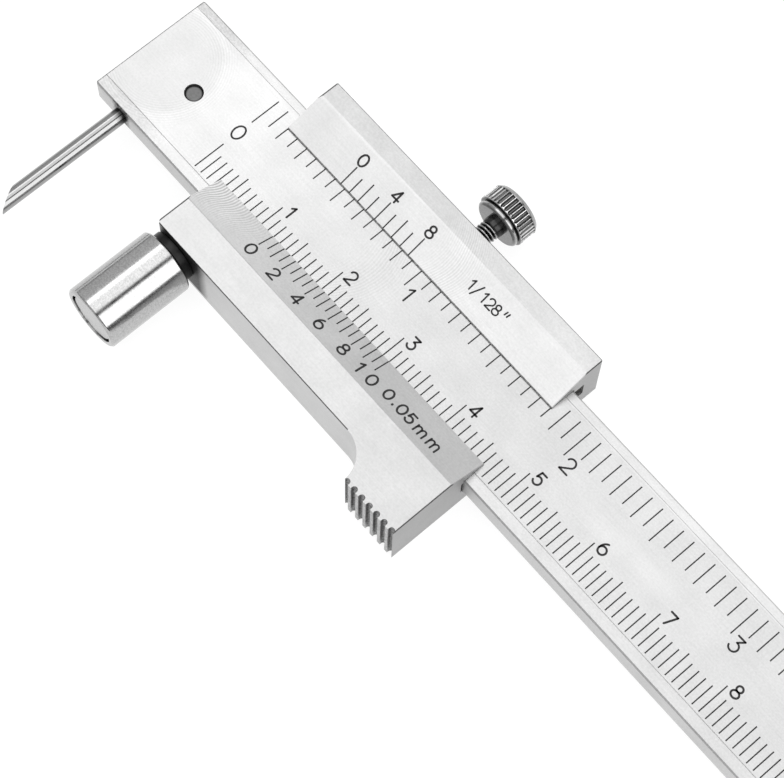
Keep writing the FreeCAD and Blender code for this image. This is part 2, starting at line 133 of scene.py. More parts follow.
def cutter_arcs(material, where, clouds, x, reach, y, radius, gap, depth):
    """Wave and strength of the arcs that a fly cutter left: gap apart, fading out within reach of x.

    x + (y - centre)^2 / 2R is the same all along one arc, and the clouds break the arcs up.
    """
    place = add(material, "ShaderNodeSeparateXYZ", links={0: (where, "Object")})
    from_y = add(material, "ShaderNodeMath", {"operation": "SUBTRACT", 1: y * MM}, {0: (place, "Y")})
    square = add(material, "ShaderNodeMath", {"operation": "MULTIPLY"},
                 {0: (from_y, 0), 1: (from_y, 0)})
    bow = add(material, "ShaderNodeMath", {"operation": "MULTIPLY_ADD", 1: 1 / (2 * radius * MM)},
              {0: (square, 0), 2: (place, "X")})
    phase = add(material, "ShaderNodeMath", {"operation": "MULTIPLY", 1: math.tau / (gap * MM)},
                {0: (bow, 0)})
    broken = add(material, "ShaderNodeMath", {"operation": "MULTIPLY_ADD", 1: 9.0},
                 {0: (clouds, 0), 2: (phase, 0)})
    wave = add(material, "ShaderNodeMath", {"operation": "SINE"}, {0: (broken, 0)})
    past_x = add(material, "ShaderNodeMath", {"operation": "SUBTRACT", 1: x * MM}, {0: (bow, 0)})
    from_x = add(material, "ShaderNodeMath", {"operation": "ABSOLUTE"}, {0: (past_x, 0)})
    strength = add(material, "ShaderNodeMapRange",
                   {"From Max": reach * MM, "To Min": depth, "To Max": 0.0}, {"Value": (from_x, 0)})
    return wave, strength


def worn_patch(material, where, spots, low, high, fade, ragged, tone):
    """Tone of a box-shaped patch, which is 1 beyond its fade; spots make its edge ragged. It paints shade
    in some places and paler or duller steel in others.
    """
    low, high = Vector(low) * MM, Vector(high) * MM
    from_centre = add(material, "ShaderNodeVectorMath", {"operation": "SUBTRACT", 1: (low + high) / 2},
                      {0: (where, "Object")})
    across = add(material, "ShaderNodeVectorMath", {"operation": "ABSOLUTE"}, {0: (from_centre, 0)})
    beyond = add(material, "ShaderNodeVectorMath", {"operation": "SUBTRACT", 1: (high - low) / 2},
                 {0: (across, 0)})
    outside = add(material, "ShaderNodeVectorMath", {"operation": "MAXIMUM"}, {0: (beyond, 0)})
    fades = add(material, "ShaderNodeVectorMath", {"operation": "DIVIDE", 1: Vector(fade) * MM},
                {0: (outside, 0)})
    distance = add(material, "ShaderNodeVectorMath", {"operation": "LENGTH"}, {0: (fades, 0)})
    ragged_reach = add(material, "ShaderNodeMath", {"operation": "MULTIPLY_ADD", 1: ragged},
               {0: (spots, 0), 2: (distance, "Value")})
    return add(material, "ShaderNodeMapRange", {"To Min": tone}, {"Value": (ragged_reach, 0)})


def steel_faces(name, tones, discs=(), arcs=(), patches=()):
    """Hardened stainless steel: ground on its flats, milled on its sides, with broken edges.

    tones are the hex colours of flats, sides and narrow chamfers, told apart by how level they lie; a
    paler side tone paints light onto the upright faces.
    discs are (x, y, radius) for wheel_disc, and arcs are (x, reach, y, radius, gap, depth) for
    cutter_arcs. patches are (low corner, high corner, fade, raggedness, tone) for worn_patch.
    """
    material, output = new_material(name)
    where = add(material, "ShaderNodeTexCoord")
    parts = add(material, "ShaderNodeSeparateXYZ", links={0: (where, "Normal")})
    upright = add(material, "ShaderNodeMath", {"operation": "ABSOLUTE"}, {0: (parts, "Z")})
    chamfer = add(material, "ShaderNodeMapRange",
                  {"From Min": 0.2, "From Max": 0.3, "interpolation_type": "SMOOTHSTEP"},
                  {"Value": (upright, 0)})
    flat = add(material, "ShaderNodeMapRange",
               {"From Min": 0.76, "From Max": 0.85, "interpolation_type": "SMOOTHSTEP"},
               {"Value": (upright, 0)})

    # Fine speckle of the wheel's grit over wide soft clouds
    speckle = add(material, "ShaderNodeTexNoise",
                  {"Scale": 1 / (SPECKLE * MM), "Detail": 3.0, "Roughness": 0.6},
                  {"Vector": (where, "Object")})
    clouds = add(material, "ShaderNodeTexNoise",
                 {"Scale": 1 / (CLOUD * MM), "Detail": 3.0}, {"Vector": (where, "Object")})
    run = add(material, "ShaderNodeMapping", {"Scale": (1 / GRINDING_STRETCH, 1, 1)},
              {"Vector": (where, "Object")})
    lines = add(material, "ShaderNodeTexNoise",
                {"Scale": 1 / (GRINDING_LINE * MM), "Detail": 2.0, "Roughness": 0.55},
                {"Vector": (run, 0)})
    grain = add(material, "ShaderNodeMath", {"operation": "MULTIPLY_ADD", 1: 0.5},
                {0: (lines, 0), 2: (speckle, 0)})
    tone = add(material, "ShaderNodeMapRange",
               {"From Min": 0.3, "From Max": 0.7, "To Min": 0.95, "To Max": 1.03},
               {"Value": (clouds, 0)})

    for disc in discs:
        wave, strength, disc_tone = wheel_disc(material, where, *disc)
        grain = add(material, "ShaderNodeMath", {"operation": "MULTIPLY_ADD"},
                    {0: (wave, 0), 1: (strength, 0), 2: (grain, 0)})
        tone = add(material, "ShaderNodeMath", {"operation": "MULTIPLY"},
                   {0: (tone, 0), 1: (disc_tone, 0)})
    for row in arcs:
        wave, strength = cutter_arcs(material, where, clouds, *row)
        grain = add(material, "ShaderNodeMath", {"operation": "MULTIPLY_ADD"},
                    {0: (wave, 0), 1: (strength, 0), 2: (grain, 0)})
    spots = add(material, "ShaderNodeMapRange", {"From Min": 0.35, "From Max": 0.65},
                {"Value": (speckle, 0)})
    for patch in patches:
        patch_tone = worn_patch(material, where, spots, *patch)
        tone = add(material, "ShaderNodeMath", {"operation": "MULTIPLY"},
                   {0: (tone, 0), 1: (patch_tone, 0)})

    face_hex, side_hex, edge_hex = tones
    narrow = add(material, "ShaderNodeMix",
                 {"data_type": "RGBA", 6: linear(side_hex), 7: linear(edge_hex)}, {0: (chamfer, 0)})
    shade = add(material, "ShaderNodeMix", {"data_type": "RGBA", 7: linear(face_hex)},
                {0: (flat, 0), 6: (narrow, 2)})
    level = add(material, "ShaderNodeMapRange",
                {"From Min": 0.45, "From Max": 1.05, "To Min": 0.9, "To Max": 1.09, "clamp": False},
                {"Value": (grain, 0)})
    both = add(material, "ShaderNodeMath", {"operation": "MULTIPLY"}, {0: (level, 0), 1: (tone, 0)})
    colour = add(material, "ShaderNodeVectorMath", {"operation": "SCALE"},
                 {0: (shade, 2), "Scale": (both, 0)})
    rough = add(material, "ShaderNodeMapRange", {"To Min": 0.42, "To Max": 0.3}, {"Value": (flat, 0)})
    rough_spots = add(material, "ShaderNodeMath", {"operation": "MULTIPLY_ADD", 1: 0.1},
                      {0: (speckle, 0), 2: (rough, 0)})
    bump = add(material, "ShaderNodeBump", {"Strength": 0.12, "Distance": 0.02 * MM},
               {"Height": (grain, 0)})
    shader = add(material, "ShaderNodeBsdfPrincipled", {"Metallic": 1.0},
                 {"Base Color": (colour, 0), "Roughness": (rough_spots, 0), "Normal": (bump, 0)})
    return finish_material(material, output, shader)


RING_STRETCH = 30


def turned_steel(name, colour_hex, roughness, line_gap, line_depth):
    """Bright turned or cylindrically ground steel: fine rings around its axis, duller faced ends."""
    material, output = new_material(name)
    where = add(material, "ShaderNodeTexCoord")
    # Rings lie across Y, so the pattern is stretched round the piece and tight along it
    run = add(material, "ShaderNodeMapping", {"Scale": (1 / RING_STRETCH, 1, 1 / RING_STRETCH)},
              {"Vector": (where, "Object")})
    rings = add(material, "ShaderNodeTexNoise", {"Scale": 1 / (line_gap * MM), "Detail": 3.0},
                {"Vector": (run, 0)})
    # Stains of 1.2 mm and speckle of 0.2 mm
    stains = add(material, "ShaderNodeTexNoise", {"Scale": 1 / (1.2 * MM), "Detail": 3.0},
                 {"Vector": (where, "Object")})
    speckle = add(material, "ShaderNodeTexNoise", {"Scale": 1 / (0.2 * MM), "Detail": 2.0},
                  {"Vector": (where, "Object")})
    faint_rings = add(material, "ShaderNodeMath", {"operation": "MULTIPLY", 1: 0.5}, {0: (rings, 0)})
    grain = add(material, "ShaderNodeMath", {"operation": "MULTIPLY_ADD", 1: 1.3},
                {0: (speckle, 0), 2: (faint_rings, 0)})
    level = add(material, "ShaderNodeMapRange",
                {"From Min": 0.55, "From Max": 1.25, "To Min": 0.8, "To Max": 1.16},
                {"Value": (grain, 0)})
    facing = add(material, "ShaderNodeSeparateXYZ", links={0: (where, "Normal")})
    endwise = add(material, "ShaderNodeMath", {"operation": "ABSOLUTE"}, {0: (facing, "Y")})
    end_tone = add(material, "ShaderNodeMapRange",
                   {"From Min": 0.85, "From Max": 0.95, "To Min": 1.0, "To Max": 0.72},
                   {"Value": (endwise, 0)})
    both = add(material, "ShaderNodeMath", {"operation": "MULTIPLY"}, {0: (level, 0), 1: (end_tone, 0)})
    colour = add(material, "ShaderNodeVectorMath", {"operation": "SCALE", 0: linear(colour_hex)[:3]},
                 {"Scale": (both, 0)})
    rough = add(material, "ShaderNodeMapRange",
                {"From Min": 0.3, "From Max": 0.7, "To Min": roughness * 0.85, "To Max": roughness * 1.2},
                {"Value": (stains, 0)})
    bump = add(material, "ShaderNodeBump", {"Strength": 0.2, "Distance": line_depth * MM},
               {"Height": (rings, 0)})
    shader = add(material, "ShaderNodeBsdfPrincipled", {"Metallic": 1.0},
                 {"Base Color": (colour, 0), "Roughness": (rough, 0), "Normal": (bump, 0)})
    return finish_material(material, output, shader)


def zoned_steel(name, centre, across, colour_hex, zones, roughness, mottle=0.16):
    """Turned steel whose tone changes with distance from its axis, or with distance along Y.

    centre is a point on the axis, in millimetres, and across is 1 for each direction square to it.
    zones are (measure, start, end, hex colour), each laid over the one before: bright crests and dark
    roots, painted as highlight and shade as well as wear and dirt.
    """
    material, output = new_material(name)
    where = add(material, "ShaderNodeTexCoord")
    from_axis = add(material, "ShaderNodeVectorMath",
                    {"operation": "SUBTRACT", 1: Vector(centre) * MM}, {0: (where, "Object")})
    spoke = add(material, "ShaderNodeVectorMath", {"operation": "MULTIPLY", 1: across},
                {0: (from_axis, 0)})
    radius = add(material, "ShaderNodeVectorMath", {"operation": "LENGTH"}, {0: (spoke, 0)})
    along = add(material, "ShaderNodeSeparateXYZ", links={0: (where, "Object")})
    measures = {"radius": (radius, "Value"), "along": (along, "Y")}
    shade = None
    for measure, start, end, zone_hex in zones:
        part = add(material, "ShaderNodeMapRange", {"From Min": start * MM, "From Max": end * MM},
                   {"Value": measures[measure]})
        under = {6: (shade, 2)} if shade else {}
        shade = add(material, "ShaderNodeMix",
                    {"data_type": "RGBA", 6: linear(colour_hex), 7: linear(zone_hex)},
                    {0: (part, 0), **under})
    # Grime in spots of 0.3 mm
    grime = add(material, "ShaderNodeTexNoise", {"Scale": 1 / (0.3 * MM), "Detail": 3.0},
                {"Vector": (where, "Object")})
    level = add(material, "ShaderNodeMapRange",
                {"From Min": 0.3, "From Max": 0.7, "To Min": 1 - mottle, "To Max": 1 + mottle},
                {"Value": (grime, 0)})
    colour = add(material, "ShaderNodeVectorMath", {"operation": "SCALE"},
                 {0: (shade, 2), "Scale": (level, 0)})
    rough = add(material, "ShaderNodeMapRange", {"To Min": roughness * 0.8, "To Max": roughness * 1.25},
                {"Value": (grime, 0)})
    bump = add(material, "ShaderNodeBump", {"Strength": 0.15, "Distance": 0.01 * MM},
               {"Height": (grime, 0)})
    shader = add(material, "ShaderNodeBsdfPrincipled", {"Metallic": 1.0},
                 {"Base Color": (colour, 0), "Roughness": (rough, 0), "Normal": (bump, 0)})
    return finish_material(material, output, shader)


def black_enamel():
    """Black enamel wiped into engraved lines: nearly matt, a little worn to grey in places."""
    material, output = new_material("black_enamel_fill")
    where = add(material, "ShaderNodeTexCoord")
    wear = add(material, "ShaderNodeTexNoise", {"Scale": 1 / (0.3 * MM), "Detail": 4.0},
               {"Vector": (where, "Object")})
    colour = add(material, "ShaderNodeMix",
                 {"data_type": "RGBA", 6: linear("#161616"), 7: linear("#303030")}, {0: (wear, 0)})
    rough = add(material, "ShaderNodeMapRange", {"To Min": 0.45, "To Max": 0.7}, {"Value": (wear, 0)})
    shader = add(material, "ShaderNodeBsdfPrincipled", {"Specular IOR Level": 0.3},
                 {"Base Color": (colour, 2), "Roughness": (rough, 0)})
    return finish_material(material, output, shader)


def machined_bronze():
    """Leaded bronze, milled: oiled yellow-brown with fine tool marks and darker oxide in patches."""
    material, output = new_material("milled_bronze")
    where = add(material, "ShaderNodeTexCoord")
    # Tool marks of 0.2 mm and oxide of 2.5 mm
    tool = add(material, "ShaderNodeTexNoise", {"Scale": 1 / (0.2 * MM), "Detail": 3.0},
               {"Vector": (where, "Object")})
    oxide = add(material, "ShaderNodeTexNoise", {"Scale": 1 / (2.5 * MM), "Detail": 4.0},
                {"Vector": (where, "Object")})
    colour = add(material, "ShaderNodeMix",
                 {"data_type": "RGBA", 6: linear("#55422a"), 7: linear("#7c6440")}, {0: (oxide, 0)})
    bump = add(material, "ShaderNodeBump", {"Strength": 0.2, "Distance": 0.01 * MM},
               {"Height": (tool, 0)})
    rough = add(material, "ShaderNodeMapRange", {"To Min": 0.25, "To Max": 0.45}, {"Value": (tool, 0)})
    shader = add(material, "ShaderNodeBsdfPrincipled", {"Metallic": 1.0},
                 {"Base Color": (colour, 2), "Roughness": (rough, 0), "Normal": (bump, 0)})
    return finish_material(material, output, shader)


def oiled_black_steel():
    """Alloy steel with an oiled black oxide: dark, with grey showing where tools have rubbed. On the
    roller's washer its dark is also painted shade.
    """
    material, output = new_material("oiled_black_oxide_and_painted_shade")
    where = add(material, "ShaderNodeTexCoord")
    rub = add(material, "ShaderNodeTexNoise", {"Scale": 1 / (0.6 * MM), "Detail": 4.0},
              {"Vector": (where, "Object")})
    colour = add(material, "ShaderNodeMix",
                 {"data_type": "RGBA", 6: linear("#181818"), 7: linear("#3a3a3a")}, {0: (rub, 0)})
    rough = add(material, "ShaderNodeMapRange", {"To Min": 0.25, "To Max": 0.5}, {"Value": (rub, 0)})
    shader = add(material, "ShaderNodeBsdfPrincipled", {"Metallic": 1.0},
                 {"Base Color": (colour, 2), "Roughness": (rough, 0)})
    return finish_material(material, output, shader)


def opal_acrylic():
    """Backlit opal acrylic: an even white that keeps only a trace of shadow, with a faint mottle."""
    material, output = new_material("backlit_opal_acrylic")
    where = add(material, "ShaderNodeTexCoord")
    mottle = add(material, "ShaderNodeTexNoise", {"Scale": 1 / (3 * MM), "Detail": 4.0},
                 {"Vector": (where, "Object")})
    colour = add(material, "ShaderNodeMix",
                 {"data_type": "RGBA", 6: linear("#6c6c6c"), 7: linear("#727272")}, {0: (mottle, 0)})
    shader = add(material, "ShaderNodeBsdfPrincipled",
                 {"Roughness": 1.0, "Specular IOR Level": 0.0, "Emission Strength": 0.88,
                  "Emission Color": linear("#ffffff")},
                 {"Base Color": (colour, 2)})
    return finish_material(material, output, shader)


# Narrow chamfers are as pale as the flats on the beam, and dark on the slider
# Painted light: the sides get a paler colour than the flats, which brightens the upright faces
FLAT_TONE, SIDE_TONE, DARK_EDGE_TONE = "#b7b7b7", "#c8c8c8", "#6b6b6b"
ground_beam_steel = steel_faces(
    "ground_stainless_beam", (FLAT_TONE, SIDE_TONE, FLAT_TONE),
    discs=[(-12.1, -0.3, 6.4)],
    arcs=[(22.5, 4.5, 0.5, 7.0, 0.35, 0.2)],
    patches=[
        # The edge bevels are greyer beside the head
        ((-19, -7.8, 3), (-8, -6.35, 4), (5, 0.15, 1), 0.55, 0.84),
        ((-19, 6.7, 3), (-10, 7.8, 4), (5, 0.15, 1), 0.55, 0.74),
        # Dark broken edge of the head's end
        ((-15.1, -7.9, 3.2), (-14.86, 7.9, 3.8), (0.05, 0.1, 0.1), 0.5, 0.3),
        # The flat is paler beyond the wheel's disc, duller from x 12 to 48, and paler round x 65
        ((-5, 1, 3), (-1, 5, 4), (4, 3, 1), 0.0, 1.05),
        ((12, -6.4, 3), (48, 6.4, 4), (9, 0.1, 1), 0.0, 0.93),
        ((60, -0.6, 3), (70, 0.4, 4), (5, 1.2, 1), 0.2, 1.05),
        # The upper edge bevel is brighter towards the tail
        ((65, 6.5, 3), (245, 7.8, 4), (25, 0.1, 1), 0.1, 1.12),
        # Painted shade: the side face round the scriber's hole is nearly black
        ((-11.6, -8, 0.1), (-9.9, -7.65, 3.3), (0.9, 0.1, 0.3), 0.6, 0.08),
    ])
ground_slider_steel = steel_faces(
    "ground_stainless_slider", (FLAT_TONE, SIDE_TONE, DARK_EDGE_TONE),
    arcs=[(3.2, 10.0, -5.5, 2.2, 0.34, 0.85), (28.0, 4.5, 7.0, 5.0, 0.3, 0.3)],
    patches=[
        # The lower incline is paler towards its cutter marks
        ((3, -9.45, 3.4), (5, -4.9, 5.5), (24, 0.1, 0.1), 0.0, 1.3),
        # Outer strip of the upper block, and the head end of its incline, both duller
        ((3, 9.5, 5.5), (20, 12, 6), (30, 0.08, 0.1), 0.15, 0.81),
        ((3, 4.7, 3.3), (10, 9.4, 5.45), (28, 0.1, 0.1), 0.0, 0.92),
        # Flat of the lower block, a shade duller
        ((3, -25, 5.58), (47, -9.6, 6), (1, 0.05, 0.02), 0.0, 0.93),
        # Line of shade along the inch vernier's edge
        ((3, 4.4, 3.3), (47, 4.66, 3.74), (1, 0.03, 0.03), 0.3, 0.12),
        # Painted shade: the tail end faces are darker than the other sides
        ((46.08, -25, -5), (47, 25, 10), (0.05, 1, 1), 0.0, 0.66),
        # Groove walls of the thumb pad, nearly black, standing in for deep shade
        ((37, -17.45, -5), (46.0, -17.0, 5.57), (0.1, 0.1, 0.02), 0.55, 0.06),
        ((37, -17.8, -5), (46.1, -17.5, 5.57), (0.1, 0.05, 0.02), 0.85, 0.55),
        # Slider's side in the gap behind the roller, nearly black, standing in for deep shade
        ((4.5, -14.6, -2), (9.8, -13.7, 5.5), (1.6, 0.1, 0.2), 0.15, 0.03),
    ])
# Hardened steel ground between centres: it mirrors the soft boxes as sharp bright bands
roller_steel = turned_steel("ground_roller_steel", "#b6b6b6", 0.16, 0.12, 0.004)
# Turned steel under thin nickel: a little softer, with wider tool rings
bright_steel = turned_steel("bright_nickel_plate", "#b9b9b9", 0.18, 0.15, 0.004)
enamel = black_enamel()
bronze = machined_bronze()
black_oxide_and_shade = oiled_black_steel()


# ---------------------------------------------------------------- mesh helpers

# Runs longer than HELD_FROM get extra points this close to their ends
HELD_FROM = 0.35
HOLD = 0.03


def piece(name, vertices, faces, material, body, smooth_angle=30):
    """Mesh object from vertices in millimetres, riding on a body."""
    mesh = bpy.data.meshes.new(name)
    mesh.from_pydata([Vector(v) * MM for v in vertices], [], faces)
    mesh.validate()
    mesh.materials.append(material)
    if smooth_angle:
        mesh.shade_smooth()
        mesh.set_sharp_from_angle(angle=math.radians(smooth_angle))
    obj = bpy.data.objects.new(name, mesh)
    bpy.context.scene.collection.objects.link(obj)
    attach(obj, body)
    return obj


def turned(profile, x, z, segments, radius_at=None):
    """Vertices and faces of a piece turned about a line along Y.

    profile is (radius, y) in order, with the solid on the left as seen with radius to the right
    and y upwards. It starts and ends on the axis, or else it closes on itself as a ring.
    radius_at(radius, y, angle) reshapes it where a piece isn't round.
    """
    vertices, faces, rows = [], [], []
    for radius, y in profile:
        if radius == 0:
            rows.append([len(vertices)])
            vertices.append((x, y, z))
            continue
        rows.append(list(range(len(vertices), len(vertices) + segments)))
        for step in range(segments):
            angle = math.tau * step / segments
            r = radius_at(radius, y, angle) if radius_at else radius
            vertices.append((x + r * math.sin(angle), y, z + r * math.cos(angle)))
    closed = len(rows[0]) > 1
    pairs = list(zip(rows, rows[1:])) + ([(rows[-1], rows[0])] if closed else [])
    for low, high in pairs:
        for step in range(segments):
            after = (step + 1) % segments
            if len(low) == 1:
                faces.append((low[0], high[step], high[after]))
            elif len(high) == 1:
                faces.append((low[step], high[0], low[after]))
            else:
                faces.append((low[step], high[step], high[after], low[after]))
    return vertices, faces


def held(profile):
    """The same profile with points close to both ends of each long run, so its shading stays true."""
    points = [profile[0]]
    for (r0, y0), (r1, y1) in zip(profile, profile[1:]):
        length = math.hypot(r1 - r0, y1 - y0)
        if length > HELD_FROM:
            for part in (HOLD / length, 1 - HOLD / length):
                points.append((r0 + (r1 - r0) * part, y0 + (y1 - y0) * part))
        points.append((r1, y1))
    return points


# ---------------------------------------------------------------- roller and its axle

ROLLER_SEGMENTS = 160
SMALL_SEGMENTS = 96
sleeve_low, sleeve_high = node_reach("roller_sleeve")
axis = node_centre("roller_sleeve")
sleeve_radius = (sleeve_high.x - sleeve_low.x) / 2
far_y, near_y = sleeve_low.y, sleeve_high.y
POCKET_RADIUS = 3.1
POCKET_DEPTH = 1.4
POCKET_BREAK = 0.05
BORE_RADIUS = 2.3
BORE_BREAK = 0.1
# Rounded edge of the roller: how far each point is inside its radius and inside its end
ROLLER_EDGE = [(0.26, 0), (0.2, 0.03), (0.03, 0.2), (0, 0.27)]
pocket_floor = far_y + POCKET_DEPTH
sleeve_profile = [(BORE_RADIUS, near_y - BORE_BREAK), (BORE_RADIUS + BORE_BREAK, near_y)]
sleeve_profile += [(sleeve_radius - inset, near_y - back) for inset, back in ROLLER_EDGE]
sleeve_profile += [(sleeve_radius - inset, far_y + back) for inset, back in reversed(ROLLER_EDGE)]
sleeve_profile += [
    (POCKET_RADIUS + POCKET_BREAK, far_y), (POCKET_RADIUS, far_y + POCKET_BREAK),
    (POCKET_RADIUS, pocket_floor), (BORE_RADIUS, pocket_floor),
]
vertices, faces = turned(held(sleeve_profile), axis.x, axis.z, ROLLER_SEGMENTS)
roller = piece("roller_tube", vertices, faces, roller_steel, "roller")
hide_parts("roller_sleeve")

axle_low, axle_high = node_reach("roller_axle")
head_radius = (axle_high.x - axle_low.x) / 2
SHOULDER_RADIUS = 1.5
THREAD_RADIUS = 1.25
THREAD_END_BREAK = 0.2
GAP_BEHIND_ROLLER = 1.15
SCREW_HEAD_THICKNESS = 1.0
side_y = sleeve_high.y + GAP_BEHIND_ROLLER
head_y = axle_low.y + SCREW_HEAD_THICKNESS
axle_profile = [
    (0, axle_high.y), (THREAD_RADIUS - THREAD_END_BREAK, axle_high.y),
    (THREAD_RADIUS, axle_high.y - THREAD_END_BREAK), (THREAD_RADIUS, side_y),
    (SHOULDER_RADIUS, side_y), (SHOULDER_RADIUS, head_y), (head_radius, head_y),
    (head_radius, axle_low.y + 0.1), (head_radius - 0.04, axle_low.y + 0.03),
    (head_radius - 0.12, axle_low.y), (0, axle_low.y),
]
vertices, faces = turned(held(axle_profile), axis.x, axis.z, ROLLER_SEGMENTS)
axle = piece("roller_shoulder_screw", vertices, faces, bright_steel, "slider")
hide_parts("roller_axle")

spacer_low, spacer_high = node_reach("roller_spacer")
spacer_radius = (spacer_high.x - spacer_low.x) / 2
WASHER_BORE_RADIUS = SHOULDER_RADIUS + 0.02
WASHER_BREAK = 0.1
spacer_profile = [
    (WASHER_BORE_RADIUS, spacer_high.y), (spacer_radius - WASHER_BREAK, spacer_high.y),
    (spacer_radius, spacer_high.y - WASHER_BREAK), (spacer_radius, spacer_low.y + WASHER_BREAK),
    (spacer_radius - WASHER_BREAK, spacer_low.y), (WASHER_BORE_RADIUS, spacer_low.y),
]
# The washer is a real part, and its black also paints the deep shade in the gap between roller and slider
vertices, faces = turned(held(spacer_profile), axis.x, axis.z, SMALL_SEGMENTS)
spacer = piece("roller_washer", vertices, faces, black_oxide_and_shade, "slider")
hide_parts("roller_spacer")


# ---------------------------------------------------------------- scriber

ROOT_BREAK = 0.1


def ground_point(radius, root_y, tip_y, heel_y, x, z, segments):
    """Round rod from root_y, ground off by one upright plane from heel_y on -X to tip_y on +X."""
    vertices, faces = [], []
    # Rings towards both ends keep the shading of the long rod true; the last lies in the ground plane
    rings = [root_y, root_y - ROOT_BREAK, root_y - 6, heel_y + 5, heel_y + 1, None]
    for index, ring_y in enumerate(rings):
        r = radius - ROOT_BREAK if index == 0 else radius
        for step in range(segments):
            angle = math.tau * step / segments
            dx = r * math.sin(angle)
            y = ring_y
            if ring_y is None:
                y = tip_y + (radius - dx) / (2 * radius) * (heel_y - tip_y)
            vertices.append((x + dx, y, z + r * math.cos(angle)))
    for ring in range(len(rings) - 1):
        for step in range(segments):
            after = (step + 1) % segments
            a, b = ring * segments + step, ring * segments + after
            faces.append((a, b, b + segments, a + segments))
    last = (len(rings) - 1) * segments
    faces.append(tuple(range(segments - 1, -1, -1)))
    faces.append(tuple(range(last, last + segments)))
    return vertices, faces


point_low, point_high = node_reach("scriber")
point_axis = node_centre("scriber")
point_radius = (point_high.x - point_low.x) / 2
POINT_HEEL_Y = -22.0
vertices, faces = ground_point(point_radius, point_high.y, point_low.y, POINT_HEEL_Y,
                               point_axis.x, point_axis.z, SMALL_SEGMENTS)
# Tungsten carbide, ground and lapped: dark grey, almost a mirror, painted dark where it enters the beam
# as the shadow there and the beam's side reflected in it
carbide = zoned_steel("lapped_tungsten_carbide", point_axis, (1, 0, 1), "#9e9e9e",
                      [("along", beam_low.y - 1.1, beam_low.y - 0.3, "#303030")], 0.13, 0.05)
scriber = piece("scriber_point", vertices, faces, carbide, "beam")
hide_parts("scriber")


# ---------------------------------------------------------------- lock screw

knob_low, knob_high = node_reach("lock_knob")
knob_axis = node_centre("lock_knob")
knob_radius = (knob_high.z - knob_low.z) / 2
FLUTES = 36
FLUTE_DEPTH = 0.3
# Half width of a crest, as a part of the flutes' spacing
FLUTE_CREST = 0.07
# Below 1, the flute's floor is wider and its sides are steeper than a cosine's
FLUTE_SHARPNESS = 0.7
FLUTE_ROUND = 0.45
FLUTE_ROUND_STEPS = 8
KNOB_SEGMENTS = FLUTES * 14
FLANGE_RADIUS = 3.02
GROOVE_RADIUS = 2.78
under_y, face_y = knob_low.y, knob_high.y
band_start = under_y + 0.72
flute_start = band_start + 0.08
band_end = face_y - 0.55
STUD_RADIUS = 1.25
stud_end_y = band_end - 0.6


def fluted(radius, y, angle):
    """Radius of the knob's band: flutes with a round end beside the flange, open at the other."""
    if radius < knob_radius - FLUTE_DEPTH - 0.02 or not flute_start < y <= band_end:
        return radius
    reach = min(1, (y - flute_start) / FLUTE_ROUND)
    half_width = (0.5 - FLUTE_CREST) * math.sqrt(1 - (1 - reach) ** 2)
    off_middle = abs((angle * FLUTES / math.tau) % 1 - 0.5)
    if off_middle >= half_width:
        return radius
    hollow = math.cos(math.pi / 2 * off_middle / half_width) ** FLUTE_SHARPNESS
    return min(radius, knob_radius - FLUTE_DEPTH * hollow)


# From the stud's socket out over the flange's rounded edge, down into the groove and up to the band
knob_profile = [
    (0, stud_end_y), (STUD_RADIUS, stud_end_y), (STUD_RADIUS, under_y),
    (FLANGE_RADIUS - 0.3, under_y), (FLANGE_RADIUS - 0.22, under_y + 0.03),
    (FLANGE_RADIUS - 0.02, under_y + 0.22), (FLANGE_RADIUS, under_y + 0.28),
    (FLANGE_RADIUS, under_y + 0.48), (FLANGE_RADIUS - 0.04, under_y + 0.53),
    (GROOVE_RADIUS + 0.04, under_y + 0.56), (GROOVE_RADIUS, under_y + 0.6),
    (GROOVE_RADIUS, under_y + 0.66), (GROOVE_RADIUS + 0.06, under_y + 0.7),
    (knob_radius - 0.16, band_start), (knob_radius - 0.04, band_start + 0.04),
    (knob_radius, flute_start),
]
for step in range(1, FLUTE_ROUND_STEPS + 1):
    along_round = (step / FLUTE_ROUND_STEPS) ** 1.5
    knob_profile.append((knob_radius, flute_start + FLUTE_ROUND * along_round))
knob_profile += [
    (knob_radius, band_end - 0.02), (knob_radius, band_end + 0.02), (knob_radius, band_end + 0.12),
    (knob_radius - 0.05, band_end + 0.2), (knob_radius - 0.3, face_y - 0.03),
    (knob_radius - 0.36, face_y), (0, face_y),
]
# Nickel plate over straight knurling: bright crests, partly rubbed by handling and partly a painted
# highlight; dark flutes and groove, partly dulled by handling and partly painted shade
knurled_plate = zoned_steel(
    "knurled_nickel_plate", knob_axis, (1, 0, 1), "#7c7c7c",
    [
        ("radius", 2.9, 2.98, "#a8a8a8"),
        ("along", under_y + 0.5, under_y + 0.6, "#5e5e5e"),
        ("radius", knob_radius - 0.1, knob_radius - 0.02, "#cacaca"),
        ("along", band_end - 0.03, band_end + 0.02, "#9c9c9c"),
    ], 0.2)
vertices, faces = turned(list(reversed(held(knob_profile))), knob_axis.x, knob_axis.z,
                         KNOB_SEGMENTS, fluted)
knob = piece("lock_knob_fluted", vertices, faces, knurled_plate, "lock_screw", 40)
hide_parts("lock_knob")

stud_low, stud_high = node_reach("lock_stud")
THREAD_PITCH = 0.45
THREAD_DEPTH = 0.27
# How steeply a flank rises over one pitch, and how much of that rise the flat root takes
THREAD_FLANK = 2.6
THREAD_ROOT = 0.12
THREAD_FADE = 0.3
ROWS_PER_PITCH = 14
NECK_RADIUS = 1.3
NECK_LENGTH = 0.85
TIP_RADIUS = 0.5
TIP_LENGTH = 0.6
thread_start = stud_low.y + TIP_LENGTH
thread_end = under_y - NECK_LENGTH


